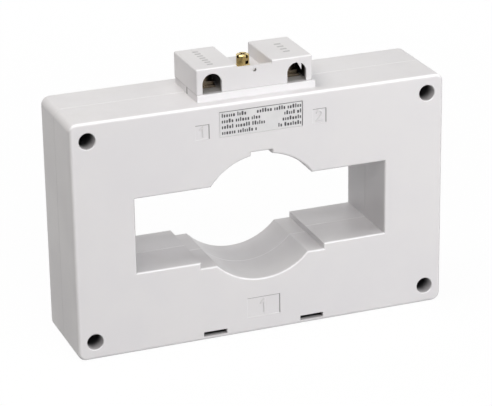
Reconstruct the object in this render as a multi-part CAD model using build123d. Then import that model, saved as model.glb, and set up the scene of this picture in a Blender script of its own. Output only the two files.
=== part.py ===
from build123d import *
import os

# Window-type current transformer with a moulded two-part case, in millimetres.
# +Z is up, +X is to the right seen from the front, and the front face looks towards -Y.
# The bottom face is z = 0, and x = y = 0 is the middle of the case.

# Case
CASE_WIDTH = 180.5
CASE_HEIGHT = 114.0
CASE_DEPTH = 43.5
CASE_WALL = 2.2
CORNER_RADIUS = 4.0
FACE_EDGE_RADIUS = 1.5
PARTING_Y = 1.0
SEAM_CHAMFER = 0.18
TONGUE_HEIGHT = 1.6
SEAM_FIT = 0.1

# Window for the busbar or cable
SLOT_MARGIN = 29.25
BORE_MARGIN = 26.5
BORE_RISE = 12.5
STEP_INSET = 0.25
STEP_DROP = 2.9
NOTCH_WIDTH = 10.4
NOTCH_DEPTH = 1.4
WINDOW_WALL = 2.0
WINDOW_EDGE_RADIUS = 1.0

# Screw wells and self-tapping case screws
WELL_DIAMETER = 7.6
WELL_INSET_X = 8.25
WELL_INSET_Z = 8.6
WELL_DEPTH = 16.0
WELL_EDGE_CHAMFER = 0.3
PILLAR_WALL = 1.8
CASE_SCREW_DIAMETER = 3.5
CASE_SCREW_LENGTH = 19.0
CASE_SCREW_HEAD_HEIGHT = 2.6
CASE_SCREW_HEAD_CHAMFER = 0.9
CASE_SCREW_HEAD_PLAY = 0.3
CASE_SCREW_HOLE_PLAY = 0.4
PILOT_PLAY = 0.05
SCREW_TIP_ROOM = 0.8
CROSS_WIDTH = 0.9
CROSS_LENGTH = 4.2
CROSS_DEPTH = 1.2

# Slots that take the clip-on feet
FOOT_SLOT_WIDTH = 11.5
FOOT_SLOT_HEIGHT = 2.3
FOOT_SLOT_PITCH = 48.0
FOOT_SLOT_Z = 1.75
FOOT_SLOT_DEPTH = 14.0
FOOT_SLOT_WALL = 1.5

# Marking fields and rating plate on the front face
MARK_DEPTH = 0.4
PRIMARY_MARK_WIDTH = 16.3
PRIMARY_MARK_HEIGHT = 9.8
PRIMARY_MARK_Z = 7.6
SECONDARY_MARK_WIDTH = 6.7
SECONDARY_MARK_HEIGHT = 7.0
SECONDARY_MARK_PITCH = 56.6
SECONDARY_MARK_DROP = 8.5
RATING_PLATE_LENGTH = 40.0
RATING_PLATE_HEIGHT = 11.8
RATING_PLATE_THICKNESS = 0.3
RATING_PLATE_DROP = 3.8
RATING_PLATE_PLAY = 0.15

# Terminal clamps, from the bottom up
TERMINAL_PITCH = 40.8
STRIP_WIDTH = 9.0
STRIP_THICKNESS = 1.5
STRIP_PROUD = 1.0
STRIP_SETBACK = 6.0
CLAMP_SETBACK = 6.0
TAIL_WIDTH = 5.0
TAIL_INSET = 0.7
CLAMP_PLATE_SIZE = 9.0
CLAMP_PLATE_THICKNESS = 1.5
CLAMP_PLATE_CORNER = 1.0
WASHER_DIAMETER = 8.4
WASHER_THICKNESS = 1.2
WASHER_SPLIT = 0.8
CLAMP_SCREW_DIAMETER = 4.9
CLAMP_SCREW_LENGTH = 9.0
CLAMP_HEAD_DIAMETER = 8.8
CLAMP_HEAD_HEIGHT = 3.0
CLAMP_HEAD_CHAMFER = 0.8
CLAMP_TRAVEL = 2.4
CLAMP_HEAD_ROOM = 1.0
THREAD_PLAY = 0.05
SCREW_PLAY = 0.2
SLOT_CUT_WIDTH = 1.2
SLOT_CUT_DEPTH = 1.4

# Terminal cover
COVER_DEPTH = 30.0
COVER_X = -0.6
COVER_Y = -0.6
COVER_WALL = 1.8
COVER_CORNER_RADIUS = 0.9
COVER_EDGE_RADIUS = 0.8
PORT_WIDTH = 9.2
PORT_HEIGHT = 9.2
PORT_END_MARGIN = 3.0
RECESS_WIDTH = 16.8
RECESS_DEPTH = 6.4
LIP_DROP = 1.6
SEAL_WIRE_HOLE = 1.8
SEAL_WIRE_RISE = 2.9
FLASH_WIDTH = 2.0
FLASH_DROP = 3.6
FLASH_OFFSET = 0.2
FLASH_THICKNESS = 0.4

# Terminal seat on the case and terminal base
RIM_HEIGHT = 3.5
RIM_LEDGE = 1.0
RIM_SIDE = 0.5
RIM_GAP = 1.2
RIM_EDGE_RADIUS = 0.5
SHELF = 2.0
BASE_PLATE = 2.5
BASE_FLANGE = 2.2
BASE_CORNER_RADIUS = 1.5
BASE_FIT = 0.15
POST_DIAMETER = 11.0
POST_GAP = 0.1

# Seal screw and its threaded bush
SEAL_HEAD_DIAMETER = 6.0
SEAL_HEAD_HEIGHT = 6.0
SEAL_HEAD_CHAMFER = 0.4
SEAL_COLLAR_DIAMETER = 6.8
SEAL_COLLAR_HEIGHT = 0.7
SEAL_SHANK_DIAMETER = 4.0
SEAL_SHANK_LENGTH = 9.5
SEAL_SLOT_WIDTH = 1.1
SEAL_SLOT_DEPTH = 1.4
SEAL_CROSS_HOLE = 1.8
SEAL_CROSS_HOLE_RISE = 2.6
SEAL_SCREW_TURN = 21.0
SEAL_BUSH_DIAMETER = 6.0
SEAL_BUSH_LENGTH = 9.0
SEAL_BUSH_PLAY = 0.02

# Wound core, from the outside in
CORE_PLAY = 0.5
PAD_THICKNESS = 1.9
TAPE_THICKNESS = 0.4
WINDING_THICKNESS = 2.6
BOX_WALL = 0.6
LAYER_GAP = 0.05
INNER_CORNER_RADIUS = 12.0
LEAD_GAP = 8.0
LEAD_DIAMETER = 1.8
LEAD_BEND_RADIUS = 2.0
LEAD_RUN = 13.0
LEAD_CLEARANCE = 1.05

# Places that follow from the sizes above
FRONT_Y = -CASE_DEPTH / 2
BACK_Y = CASE_DEPTH / 2
WINDOW_Z = CASE_HEIGHT / 2
SLOT_LENGTH = CASE_WIDTH - 2 * SLOT_MARGIN
CABLE_BORE = CASE_HEIGHT - 2 * BORE_MARGIN
SLOT_HEIGHT = CABLE_BORE - 2 * BORE_RISE
STEP_LENGTH = CABLE_BORE - 2 * STEP_INSET
INNER_TOP = CASE_HEIGHT - CASE_WALL
SCREW_SEAT_Y = FRONT_Y + WELL_DEPTH

COVER_LENGTH = TERMINAL_PITCH + PORT_WIDTH + 2 * PORT_END_MARGIN
COVER_FRONT = COVER_Y - COVER_DEPTH / 2
COVER_BACK = COVER_Y + COVER_DEPTH / 2
RIM_TOP = CASE_HEIGHT + RIM_HEIGHT
STRIP_TOP = RIM_TOP + STRIP_PROUD
CLAMP_TOP = STRIP_TOP + CLAMP_PLATE_THICKNESS
WASHER_TOP = CLAMP_TOP + WASHER_THICKNESS
COVER_CEILING = WASHER_TOP + CLAMP_HEAD_HEIGHT + CLAMP_TRAVEL + CLAMP_HEAD_ROOM
COVER_TOP = COVER_CEILING + COVER_WALL
RECESS_FLOOR = COVER_TOP - RECESS_DEPTH
POST_TOP = RECESS_FLOOR - COVER_WALL - POST_GAP
STRIP_FRONT = COVER_FRONT + COVER_WALL + STRIP_SETBACK
STRIP_BACK = COVER_BACK - COVER_WALL - SHELF - TAIL_INSET
CLAMP_Y = STRIP_FRONT + CLAMP_SETBACK
BASE_BOTTOM = INNER_TOP - BASE_FIT - BASE_FLANGE

# The wound ring takes the room that the window, the case and the terminals leave
RING_HALF_X = SLOT_LENGTH / 2 + WINDOW_WALL + CORE_PLAY
RING_HALF_Z = CABLE_BORE / 2 + NOTCH_DEPTH + WINDOW_WALL + CORE_PLAY
RING_HALF_Y = CASE_DEPTH / 2 - CASE_WALL - PAD_THICKNESS
LEAD_Z = BASE_BOTTOM - LEAD_CLEARANCE - LEAD_DIAMETER / 2
ROOM_ABOVE = LEAD_Z - LEAD_BEND_RADIUS - LAYER_GAP - WINDOW_Z - RING_HALF_Z
ROOM_BESIDE = CASE_WIDTH / 2 - CASE_WALL - CORE_PLAY - RING_HALF_X
RING_BAND = min(ROOM_ABOVE, ROOM_BESIDE)
RING_TOP = WINDOW_Z + RING_HALF_Z + RING_BAND
WRAP = TAPE_THICKNESS + WINDING_THICKNESS + BOX_WALL
TAIL_BOTTOM = LEAD_Z - LEAD_DIAMETER / 2
TAIL_Y = STRIP_BACK - STRIP_THICKNESS / 2


def prism_y(outline, front, back):
    """Extrude an outline drawn in x and z from y = front to y = back."""
    return extrude(Plane.XZ.offset(-back) * outline, amount=back - front)


def prism_z(outline, bottom, top):
    """Extrude an outline drawn in x and y from z = bottom to z = top."""
    return extrude(Plane.XY.offset(bottom) * outline, amount=top - bottom)


def rod_z(diameter, x, y, bottom, top):
    """Round bar or hole along Z."""
    return prism_z(Pos(x, y) * Circle(diameter / 2), bottom, top)


def rod_y(diameter, x, z, front, back):
    """Round bar or hole along Y."""
    return prism_y(Pos(x, z) * Circle(diameter / 2), front, back)


def terminal_x(side):
    """Place of a terminal along X, with side -1 for the first and 1 for the second."""
    return COVER_X + side * TERMINAL_PITCH / 2


def case_outline(inset=0.0):
    """Front view of the case, moved inwards by the inset."""
    width = CASE_WIDTH - 2 * inset
    height = CASE_HEIGHT - 2 * inset
    radius = max(CORNER_RADIUS - inset, CORNER_RADIUS / 8)
    return Pos(0, WINDOW_Z) * RectangleRounded(width, height, radius)


def window_outline(grow=0.0):
    """Front view of the window, moved outwards by the growth."""
    slot = Rectangle(SLOT_LENGTH + 2 * grow, SLOT_HEIGHT + 2 * grow)
    bore = Circle(CABLE_BORE / 2 + grow)
    step_height = SLOT_HEIGHT / 2 + STEP_DROP + grow
    step = Rectangle(STEP_LENGTH + 2 * grow, step_height, align=(Align.CENTER, Align.MAX))
    notch_height = CABLE_BORE / 2 + NOTCH_DEPTH + grow
    notch = Rectangle(NOTCH_WIDTH + 2 * grow, notch_height, align=(Align.CENTER, Align.MIN))
    return Pos(0, WINDOW_Z) * (slot + bore + step + notch)


def screw_places():
    """Centres of the four screw wells as (x, z), with the side and the height signs."""
    x = CASE_WIDTH / 2 - WELL_INSET_X
    z = CASE_HEIGHT / 2 - WELL_INSET_Z
    return [(i * x, WINDOW_Z + k * z, i, k) for i in (-1, 1) for k in (-1, 1)]


def pillar_outline():
    """The four screw pillars, each run into the two walls of its corner."""
    radius = WELL_DIAMETER / 2 + PILLAR_WALL
    outline = Sketch()
    for x, z, side, level in screw_places():
        to_side = Pos(x + side * WELL_INSET_X / 2, z) * Rectangle(WELL_INSET_X, 2 * radius)
        to_level = Pos(x, z + level * WELL_INSET_Z / 2) * Rectangle(2 * radius, WELL_INSET_Z)
        outline += Pos(x, z) * Circle(radius) + to_side + to_level
    return outline


def cavity_outline():
    """The room inside the case, round the window wall and between the screw pillars."""
    return case_outline(CASE_WALL) - window_outline(WINDOW_WALL) - pillar_outline()


def seat_outline(inset=0.0):
    """Plan of the space inside the terminal cover's walls, moved inwards by the inset."""
    length = COVER_LENGTH - 2 * COVER_WALL - 2 * inset
    depth = COVER_DEPTH - 2 * COVER_WALL - 2 * inset
    return Pos(COVER_X, COVER_Y) * RectangleRounded(length, depth, BASE_CORNER_RADIUS)


def terminal_opening():
    """Stepped opening in the case top that holds the terminal base."""
    pocket = prism_z(seat_outline(), RIM_TOP - BASE_PLATE, RIM_TOP + RIM_HEIGHT)
    neck = prism_z(seat_outline(SHELF), INNER_TOP - BASE_FLANGE, RIM_TOP)
    return pocket + neck


def rim(front, back, half_length, outer_end):
    """Half of the raised rim that the terminal cover stands on."""
    plan = Pos(0, (front + back) / 2) * Rectangle(2 * half_length, back - front)
    block = prism_z(plan, INNER_TOP, RIM_TOP)
    top = block.faces().sort_by(Axis.Z)[-1]
    parting_edge = top.edges().sort_by(Axis.Y)[-1 if outer_end < 0 else 0]
    rounded = [edge for edge in top.edges() if edge != parting_edge]
    return fillet(rounded, RIM_EDGE_RADIUS)


def foot_slots(face, inward):
    """Slots for the feet in the front or rear face, and the channels that line them."""
    slots = Part()
    channels = Part()
    slot_end = face + inward * FOOT_SLOT_DEPTH
    channel_end = slot_end + inward * FOOT_SLOT_WALL
    for side in (-1, 1):
        x = side * FOOT_SLOT_PITCH / 2
        bottom = (Align.CENTER, Align.MIN)
        slot = Pos(x, FOOT_SLOT_Z) * Rectangle(FOOT_SLOT_WIDTH, FOOT_SLOT_HEIGHT, align=bottom)
        channel_top = FOOT_SLOT_Z + FOOT_SLOT_HEIGHT + FOOT_SLOT_WALL
        channel_width = FOOT_SLOT_WIDTH + 2 * FOOT_SLOT_WALL
        channel = Pos(x, CASE_WALL / 2) * Rectangle(
            channel_width, channel_top - CASE_WALL / 2, align=bottom
        )
        slots += prism_y(slot, min(face, slot_end), max(face, slot_end))
        inner_face = face + inward * CASE_WALL / 2
        channels += prism_y(channel, min(inner_face, channel_end), max(inner_face, channel_end))
    return slots, channels


def half_shell(front, back, outer_end):
    """One half of the case as a solid block with the window, its edges broken."""
    block = prism_y(case_outline() - window_outline(), front, back)
    ends = block.faces().sort_by(Axis.Y)
    outer_face = ends[0] if outer_end < 0 else ends[-1]
    block = fillet(outer_face.outer_wire().edges(), FACE_EDGE_RADIUS)
    ends = block.faces().sort_by(Axis.Y)
    outer_face = ends[0] if outer_end < 0 else ends[-1]
    block = fillet(outer_face.inner_wires()[0].edges(), WINDOW_EDGE_RADIUS)
    ends = block.faces().sort_by(Axis.Y)
    parting_face = ends[-1] if outer_end < 0 else ends[0]
    return chamfer(parting_face.edges(), SEAM_CHAMFER)


def seam_ring(wall_fit):
    """Plan of the tongue along the inner half of the case wall and of the window wall."""
    outer = case_outline(CASE_WALL / 2 + wall_fit) - case_outline(CASE_WALL)
    inner = window_outline(WINDOW_WALL) - window_outline(WINDOW_WALL / 2 + wall_fit)
    return outer, inner


def mark_fields():
    """Shallow fields in the front face for the markings and the rating plate."""
    bottom = (Align.CENTER, Align.MIN)
    top = (Align.CENTER, Align.MAX)
    fields = Pos(0, PRIMARY_MARK_Z) * Rectangle(
        PRIMARY_MARK_WIDTH, PRIMARY_MARK_HEIGHT, align=bottom
    )
    for side in (-1, 1):
        place = Pos(side * SECONDARY_MARK_PITCH / 2, CASE_HEIGHT - SECONDARY_MARK_DROP)
        fields += place * Rectangle(SECONDARY_MARK_WIDTH, SECONDARY_MARK_HEIGHT, align=top)
    place = Pos(0, CASE_HEIGHT - RATING_PLATE_DROP + RATING_PLATE_PLAY)
    fields += place * Rectangle(
        RATING_PLATE_LENGTH + 2 * RATING_PLATE_PLAY,
        RATING_PLATE_HEIGHT + 2 * RATING_PLATE_PLAY,
        align=top,
    )
    return prism_y(fields, FRONT_Y, FRONT_Y + MARK_DEPTH)


def front_case():
    """Front half of the case, with the screw wells, the markings and the seam's tongue."""
    shell = half_shell(FRONT_Y, PARTING_Y, -1)
    shell += rim(COVER_FRONT - RIM_LEDGE, PARTING_Y, COVER_LENGTH / 2 + RIM_SIDE, -1)
    shell -= prism_y(cavity_outline(), FRONT_Y + CASE_WALL, PARTING_Y)
    for tongue in seam_ring(SEAM_FIT):
        shell += prism_y(tongue, PARTING_Y - TONGUE_HEIGHT, PARTING_Y + TONGUE_HEIGHT)
    slots, channels = foot_slots(FRONT_Y, 1)
    shell = shell + channels - slots - terminal_opening() - mark_fields()
    for x, z, _, _ in screw_places():
        hole = CASE_SCREW_DIAMETER + 2 * CASE_SCREW_HOLE_PLAY
        shell -= rod_y(WELL_DIAMETER, x, z, FRONT_Y, SCREW_SEAT_Y)
        shell -= rod_y(hole, x, z, FRONT_Y, PARTING_Y + TONGUE_HEIGHT)
        mouth = Pos(x, z) * Circle(WELL_DIAMETER / 2 + WELL_EDGE_CHAMFER)
        shell -= extrude(
            Plane.XZ.offset(-FRONT_Y) * mouth, amount=-WELL_EDGE_CHAMFER, taper=45
        )
    return shell


def rear_case():
    """Rear half of the case, with the groove of the seam and the screws' pilot holes."""
    shell = half_shell(PARTING_Y, BACK_Y, 1)
    shell += rim(PARTING_Y + RIM_GAP, COVER_BACK, COVER_LENGTH / 2, 1)
    shell -= prism_y(cavity_outline(), PARTING_Y, BACK_Y - CASE_WALL)
    for groove in seam_ring(0.0):
        shell -= prism_y(groove, PARTING_Y, PARTING_Y + TONGUE_HEIGHT + SEAM_FIT)
    slots, channels = foot_slots(BACK_Y, -1)
    shell = shell + channels - slots - terminal_opening()
    for x, z, _, _ in screw_places():
        pilot = CASE_SCREW_DIAMETER + 2 * PILOT_PLAY
        tip = SCREW_SEAT_Y + CASE_SCREW_LENGTH
        shell -= rod_y(pilot, x, z, PARTING_Y, tip + SCREW_TIP_ROOM)
    return shell


def case_screws():
    """The four self-tapping screws at the bottom of the wells."""
    head_diameter = WELL_DIAMETER - 2 * CASE_SCREW_HEAD_PLAY
    head_front = SCREW_SEAT_Y - CASE_SCREW_HEAD_HEIGHT
    tip = SCREW_SEAT_Y + CASE_SCREW_LENGTH
    screws = []
    for x, z, _, _ in screw_places():
        head = rod_y(head_diameter, x, z, head_front, SCREW_SEAT_Y)
        rim_edge = head.edges().sort_by(Axis.Y)[0]
        head = chamfer(rim_edge, CASE_SCREW_HEAD_CHAMFER)
        screw = head + rod_y(CASE_SCREW_DIAMETER, x, z, SCREW_SEAT_Y, tip)
        cross = Rectangle(CROSS_LENGTH, CROSS_WIDTH) + Rectangle(CROSS_WIDTH, CROSS_LENGTH)
        screws.append(screw - prism_y(Pos(x, z) * cross, head_front, head_front + CROSS_DEPTH))
    return Compound(children=[screw.solid() for screw in screws])


def rating_plate():
    """Thin plate in its field near the top of the front face."""
    outline = Pos(0, CASE_HEIGHT - RATING_PLATE_DROP) * Rectangle(
        RATING_PLATE_LENGTH, RATING_PLATE_HEIGHT, align=(Align.CENTER, Align.MAX)
    )
    back = FRONT_Y + MARK_DEPTH
    return prism_y(outline, back - RATING_PLATE_THICKNESS, back)


def ring_outline(inset):
    """Front view of the ring round the window, with both edges moved in by the inset."""
    def racetrack(offset):
        width = 2 * (RING_HALF_X + offset)
        height = 2 * (RING_HALF_Z + offset)
        return Pos(0, WINDOW_Z) * RectangleRounded(width, height, INNER_CORNER_RADIUS + offset)

    return racetrack(RING_BAND - inset) - racetrack(inset)


def ring_solid(inset):
    """The whole ring as it is at a depth of the inset under the tape's surface."""
    return prism_y(ring_outline(inset), inset - RING_HALF_Y, RING_HALF_Y - inset)


def lead_gap():
    """Break at the top of the winding between its first and its last turn."""
    height = RING_BAND + CORE_PLAY
    plan = Rectangle(LEAD_GAP, 2 * RING_HALF_Y)
    return prism_z(plan, RING_TOP - height, RING_TOP + CORE_PLAY)


def winding_layer(inset, thickness):
    """Open sleeve round the ring, broken where the winding begins and ends."""
    outer = ring_solid(inset)
    inner = ring_solid(inset + thickness - LAYER_GAP)
    return outer - inner - lead_gap()


def core_box():
    """Channel that insulates the core, open at the rear."""
    inset = TAPE_THICKNESS + WINDING_THICKNESS
    room = prism_y(ring_outline(inset + BOX_WALL), inset + BOX_WALL - RING_HALF_Y, RING_HALF_Y)
    body = prism_y(ring_outline(inset), inset - RING_HALF_Y, RING_HALF_Y - WRAP)
    return body - room


def core_box_lid():
    """Flat ring that closes the core box."""
    inset = TAPE_THICKNESS + WINDING_THICKNESS
    return prism_y(ring_outline(inset), RING_HALF_Y - WRAP, RING_HALF_Y - inset)


def core():
    """Wound steel core in its box."""
    return ring_solid(WRAP + LAYER_GAP)


def pad(side):
    """Foam ring between the tape and the front or rear wall of the case."""
    near = RING_HALF_Y + LAYER_GAP
    far = RING_HALF_Y + PAD_THICKNESS
    outline = ring_outline(0.0)
    return prism_y(outline, -far, -near) if side < 0 else prism_y(outline, near, far)


def lead(side):
    """Lead from the top of the winding to the tail of a terminal strip."""
    tail_side = terminal_x(side) + side * TAIL_WIDTH / 2
    far = tail_side + side * LEAD_RUN
    path = FilletPolyline(
        (far, TAIL_Y, RING_TOP),
        (far, TAIL_Y, LEAD_Z),
        (tail_side, TAIL_Y, LEAD_Z),
        radius=LEAD_BEND_RADIUS,
    )
    section = Plane(origin=path @ 0, z_dir=path % 0) * Circle(LEAD_DIAMETER / 2)
    return sweep(section, path=path)


def strip_outline(side, play=0.0):
    """Plan of a terminal strip."""
    length = STRIP_BACK - STRIP_FRONT
    middle = (STRIP_BACK + STRIP_FRONT) / 2
    return Pos(terminal_x(side), middle) * Rectangle(
        STRIP_WIDTH + 2 * play, length + 2 * play
    )


def tail_outline(side, play=0.0):
    """Plan of the tail that a terminal strip has at its rear end."""
    return Pos(terminal_x(side), TAIL_Y) * Rectangle(
        TAIL_WIDTH + 2 * play, STRIP_THICKNESS + 2 * play
    )


def terminal_base():
    """Moulded block that carries the terminals and is gripped between the case halves."""
    block = prism_z(seat_outline(BASE_FIT), RIM_TOP - BASE_PLATE, RIM_TOP)
    block += prism_z(seat_outline(SHELF + BASE_FIT), BASE_BOTTOM, RIM_TOP)
    block += prism_z(seat_outline(BASE_FIT), BASE_BOTTOM, BASE_BOTTOM + BASE_FLANGE)
    block += rod_z(POST_DIAMETER, COVER_X, COVER_Y, RIM_TOP, POST_TOP)
    bush_hole = SEAL_BUSH_DIAMETER + 2 * SEAL_BUSH_PLAY
    block -= rod_z(bush_hole, COVER_X, COVER_Y, POST_TOP - SEAL_BUSH_LENGTH, POST_TOP)
    screw_hole = CLAMP_SCREW_DIAMETER + 2 * SCREW_PLAY
    hole_floor = WASHER_TOP - CLAMP_SCREW_LENGTH - SCREW_TIP_ROOM
    for side in (-1, 1):
        strip_bottom = STRIP_TOP - STRIP_THICKNESS
        block -= prism_z(strip_outline(side, BASE_FIT), strip_bottom, RIM_TOP)
        block -= prism_z(tail_outline(side, BASE_FIT), BASE_BOTTOM, RIM_TOP)
        block -= rod_z(screw_hole, terminal_x(side), CLAMP_Y, hole_floor, RIM_TOP)
    return block


def terminal_strip(side):
    """Plated strip with a tapped hole for the clamp screw and a tail for the lead."""
    strip = prism_z(strip_outline(side), STRIP_TOP - STRIP_THICKNESS, STRIP_TOP)
    strip += prism_z(tail_outline(side), TAIL_BOTTOM, STRIP_TOP)
    bend = strip.edges().filter_by(Axis.X).group_by(Axis.Y)[-1].sort_by(Axis.Z)[-1]
    strip = fillet(bend, STRIP_THICKNESS / 2)
    tapped = CLAMP_SCREW_DIAMETER + 2 * THREAD_PLAY
    x = terminal_x(side)
    return strip - rod_z(tapped, x, CLAMP_Y, STRIP_TOP - STRIP_THICKNESS, STRIP_TOP)


def clamp_plate(side):
    """Square pressure plate that holds the wire on the strip."""
    x = terminal_x(side)
    outline = RectangleRounded(CLAMP_PLATE_SIZE, CLAMP_PLATE_SIZE, CLAMP_PLATE_CORNER)
    hole = Circle(CLAMP_SCREW_DIAMETER / 2 + SCREW_PLAY)
    return prism_z(Pos(x, CLAMP_Y) * (outline - hole), STRIP_TOP, CLAMP_TOP)


def spring_washer(side):
    """Split washer between the pressure plate and the screw head."""
    x = terminal_x(side)
    hole = Circle(CLAMP_SCREW_DIAMETER / 2 + SCREW_PLAY)
    split = Rectangle(WASHER_DIAMETER, WASHER_SPLIT, align=(Align.MIN, Align.CENTER))
    outline = Circle(WASHER_DIAMETER / 2) - hole - split
    return prism_z(Pos(x, CLAMP_Y) * outline, CLAMP_TOP, WASHER_TOP)


def terminal_screw(side):
    """Clamp screw with a slotted head."""
    x = terminal_x(side)
    head_top = WASHER_TOP + CLAMP_HEAD_HEIGHT
    head = rod_z(CLAMP_HEAD_DIAMETER, x, CLAMP_Y, WASHER_TOP, head_top)
    head = chamfer(head.edges().sort_by(Axis.Z)[-1], CLAMP_HEAD_CHAMFER)
    shank = rod_z(CLAMP_SCREW_DIAMETER, x, CLAMP_Y, WASHER_TOP - CLAMP_SCREW_LENGTH, WASHER_TOP)
    cut = Rectangle(CLAMP_HEAD_DIAMETER, SLOT_CUT_WIDTH)
    slot = prism_z(Pos(x, CLAMP_Y) * cut, head_top - SLOT_CUT_DEPTH, head_top)
    return head + shank - slot


def wire_port(side):
    """Arched opening in the cover's front wall, open down to the rim."""
    radius = PORT_WIDTH / 2
    spring = RIM_TOP + PORT_HEIGHT - radius
    x = terminal_x(side)
    leg = Rectangle(PORT_WIDTH, PORT_HEIGHT - radius, align=(Align.CENTER, Align.MIN))
    outline = Pos(x, RIM_TOP) * leg + Pos(x, spring) * Circle(radius)
    return prism_y(outline, COVER_FRONT, COVER_FRONT + COVER_WALL)


def moulding_flash():
    """Thin three-cornered tag of plastic left at the crown of the right wire port."""
    crown = RIM_TOP + PORT_HEIGHT
    left = terminal_x(1) + FLASH_OFFSET
    right = left + FLASH_WIDTH
    root = crown + FLASH_WIDTH / 2
    tag = Polygon((left, root), (left, crown), (right, crown - FLASH_DROP), (right, root), align=None)
    return prism_y(tag, COVER_FRONT, COVER_FRONT + FLASH_THICKNESS)


def terminal_cover():
    """Cover with two raised ends, a recess for the seal screw and two wire ports."""
    middle = Pos(COVER_X, COVER_Y)
    plan = middle * RectangleRounded(COVER_LENGTH, COVER_DEPTH, COVER_CORNER_RADIUS)
    block = prism_z(plan, RIM_TOP, COVER_TOP)
    low_middle = middle * Rectangle(RECESS_WIDTH, COVER_DEPTH)
    block -= prism_z(low_middle, COVER_TOP - LIP_DROP, COVER_TOP)
    tops = block.faces().filter_by(Axis.Z).sort_by(Axis.Z)[1:]
    block = fillet(tops.edges().filter_by_position(Axis.Z, COVER_TOP, COVER_TOP), COVER_EDGE_RADIUS)
    recess = Pos(COVER_X, COVER_BACK) * Rectangle(
        RECESS_WIDTH, COVER_DEPTH - COVER_WALL, align=(Align.CENTER, Align.MAX)
    )
    block -= prism_z(recess, RECESS_FLOOR, COVER_TOP)

    block -= prism_z(seat_outline(), RIM_TOP, RECESS_FLOOR - COVER_WALL)
    room_length = (COVER_LENGTH - RECESS_WIDTH) / 2 - 2 * COVER_WALL
    room_x = COVER_LENGTH / 2 - COVER_WALL - room_length / 2
    for side in (-1, 1):
        room = Pos(side * room_x) * Rectangle(room_length, COVER_DEPTH - 2 * COVER_WALL)
        block -= prism_z(middle * room, RIM_TOP, COVER_CEILING)
        block -= wire_port(side)
    block += moulding_flash()

    screw_hole = SEAL_SHANK_DIAMETER + 2 * SCREW_PLAY
    block -= rod_z(screw_hole, COVER_X, COVER_Y, RIM_TOP, RECESS_FLOOR)
    wire_z = RECESS_FLOOR + SEAL_WIRE_RISE
    return block - rod_y(SEAL_WIRE_HOLE, COVER_X, wire_z, COVER_FRONT, COVER_FRONT + COVER_WALL)


def seal_insert():
    """Threaded brass bush in the post of the terminal base."""
    bore = SEAL_SHANK_DIAMETER + 2 * THREAD_PLAY
    bottom = POST_TOP - SEAL_BUSH_LENGTH
    outer = rod_z(SEAL_BUSH_DIAMETER, COVER_X, COVER_Y, bottom, POST_TOP)
    return outer - rod_z(bore, COVER_X, COVER_Y, bottom, POST_TOP)


def seal_screw():
    """Brass screw with a cross-slotted head that is drilled for a seal wire."""
    head_top = RECESS_FLOOR + SEAL_HEAD_HEIGHT
    head = rod_z(SEAL_HEAD_DIAMETER, 0, 0, RECESS_FLOOR, head_top)
    head = chamfer(head.edges().sort_by(Axis.Z)[-1], SEAL_HEAD_CHAMFER)
    head += rod_z(SEAL_COLLAR_DIAMETER, 0, 0, RECESS_FLOOR, RECESS_FLOOR + SEAL_COLLAR_HEIGHT)
    long_cut = Rectangle(SEAL_HEAD_DIAMETER, SEAL_SLOT_WIDTH)
    head -= prism_z(long_cut + Rot(0, 0, 90) * long_cut, head_top - SEAL_SLOT_DEPTH, head_top)
    hole_z = RECESS_FLOOR + SEAL_CROSS_HOLE_RISE
    head -= rod_y(SEAL_CROSS_HOLE, 0, hole_z, -SEAL_HEAD_DIAMETER, SEAL_HEAD_DIAMETER)
    tip = RECESS_FLOOR - SEAL_SHANK_LENGTH
    screw = head + rod_z(SEAL_SHANK_DIAMETER, 0, 0, tip, RECESS_FLOOR)
    return Pos(COVER_X, COVER_Y) * Rot(0, 0, SEAL_SCREW_TURN) * screw


NODES = {
    "front_case": front_case(),
    "rear_case": rear_case(),
    "case_screws": case_screws(),
    "rating_plate": rating_plate(),
    "core": core(),
    "core_box": core_box(),
    "core_box_lid": core_box_lid(),
    "secondary_winding": winding_layer(TAPE_THICKNESS, WINDING_THICKNESS),
    "winding_tape": winding_layer(0.0, TAPE_THICKNESS),
    "front_pad": pad(-1),
    "rear_pad": pad(1),
    "terminal_base": terminal_base(),
    "terminal_cover": terminal_cover(),
    "seal_insert": seal_insert(),
    "seal_screw": seal_screw(),
}
for name, side in (("s1", -1), ("s2", 1)):
    NODES[f"lead_{name}"] = lead(side)
    NODES[f"terminal_strip_{name}"] = terminal_strip(side)
    NODES[f"clamp_plate_{name}"] = clamp_plate(side)
    NODES[f"spring_washer_{name}"] = spring_washer(side)
    NODES[f"terminal_screw_{name}"] = terminal_screw(side)

os.makedirs("parts", exist_ok=True)
for node, shape in NODES.items():
    export_step(shape, f"parts/{node}.step")
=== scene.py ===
import logging
import math
from collections.abc import Callable
from dataclasses import dataclass, field
from enum import Enum
from functools import cached_property

import bpy
import numpy as np
from mathutils import Matrix, Vector


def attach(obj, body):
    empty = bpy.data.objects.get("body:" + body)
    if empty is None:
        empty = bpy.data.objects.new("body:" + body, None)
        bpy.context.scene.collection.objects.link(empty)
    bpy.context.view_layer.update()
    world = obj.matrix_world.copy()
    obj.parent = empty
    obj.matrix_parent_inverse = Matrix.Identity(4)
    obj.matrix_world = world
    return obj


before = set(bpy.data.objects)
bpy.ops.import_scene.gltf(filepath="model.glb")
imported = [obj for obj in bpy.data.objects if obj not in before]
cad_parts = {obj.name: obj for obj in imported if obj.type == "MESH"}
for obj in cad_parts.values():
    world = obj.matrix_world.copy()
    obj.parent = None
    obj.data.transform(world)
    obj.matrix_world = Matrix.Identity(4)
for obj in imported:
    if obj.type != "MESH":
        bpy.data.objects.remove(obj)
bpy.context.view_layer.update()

Colour = tuple[float, float, float, float]
Span = tuple[float, float]
Triple = tuple[float, float, float]
Socket = bpy.types.NodeSocket
Value = float | tuple | Socket
LOG = logging.getLogger("current_transformer")
MM = 0.001
WHITE: Colour = (1.0, 1.0, 1.0, 1.0)
WELD_DISTANCE = 1.0e-6
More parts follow.
